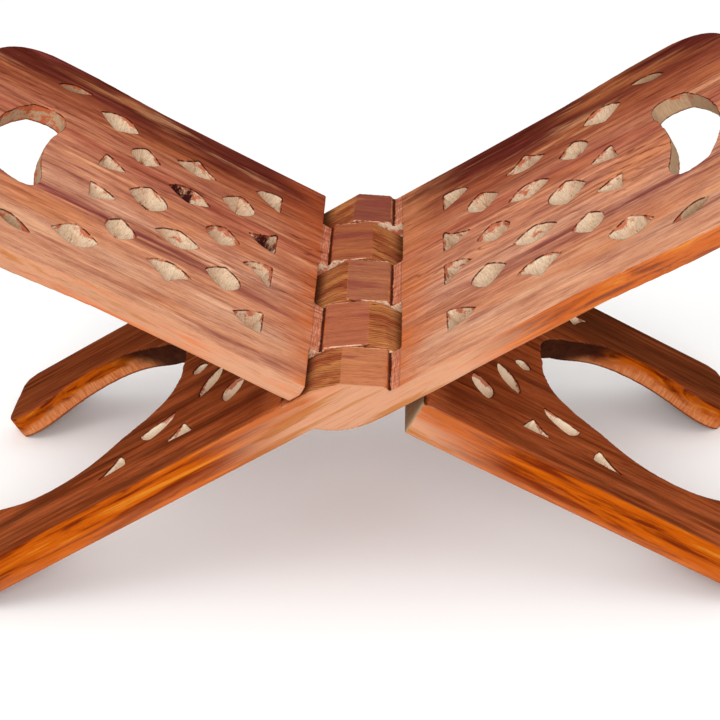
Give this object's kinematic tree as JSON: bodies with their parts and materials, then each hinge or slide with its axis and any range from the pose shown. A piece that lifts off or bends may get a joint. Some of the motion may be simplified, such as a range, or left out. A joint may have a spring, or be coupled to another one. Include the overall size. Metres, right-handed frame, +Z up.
{
  "type": "folding book stand",
  "caption": "Folding X-shaped wooden book stand of two interlocking carved leaves with pierced boards, hand holes and arched legs.",
  "frame": {"origin": "middle of the footprint, on the surface that the stand rests on", "axes": "+Z up, +Y along the hinge towards the far edge, +X across the book boards to the right"},
  "size_m": [0.3096, 0.1674, 0.1666],
  "materials": {
    "stained_wood": "satin"
  },
  "bodies": {
    "right_body": {"right_leaf": "stained_wood"},
    "left_body": {"left_leaf": "stained_wood"}
  },
  "joints": [
    {"name": "leaf_fold", "type": "hinge", "parent": "right_body", "child": "left_body", "pos_m": [0, 0, 0.08395], "axis": [0, 1, 0], "range_deg": [0, 120]}
  ]
}
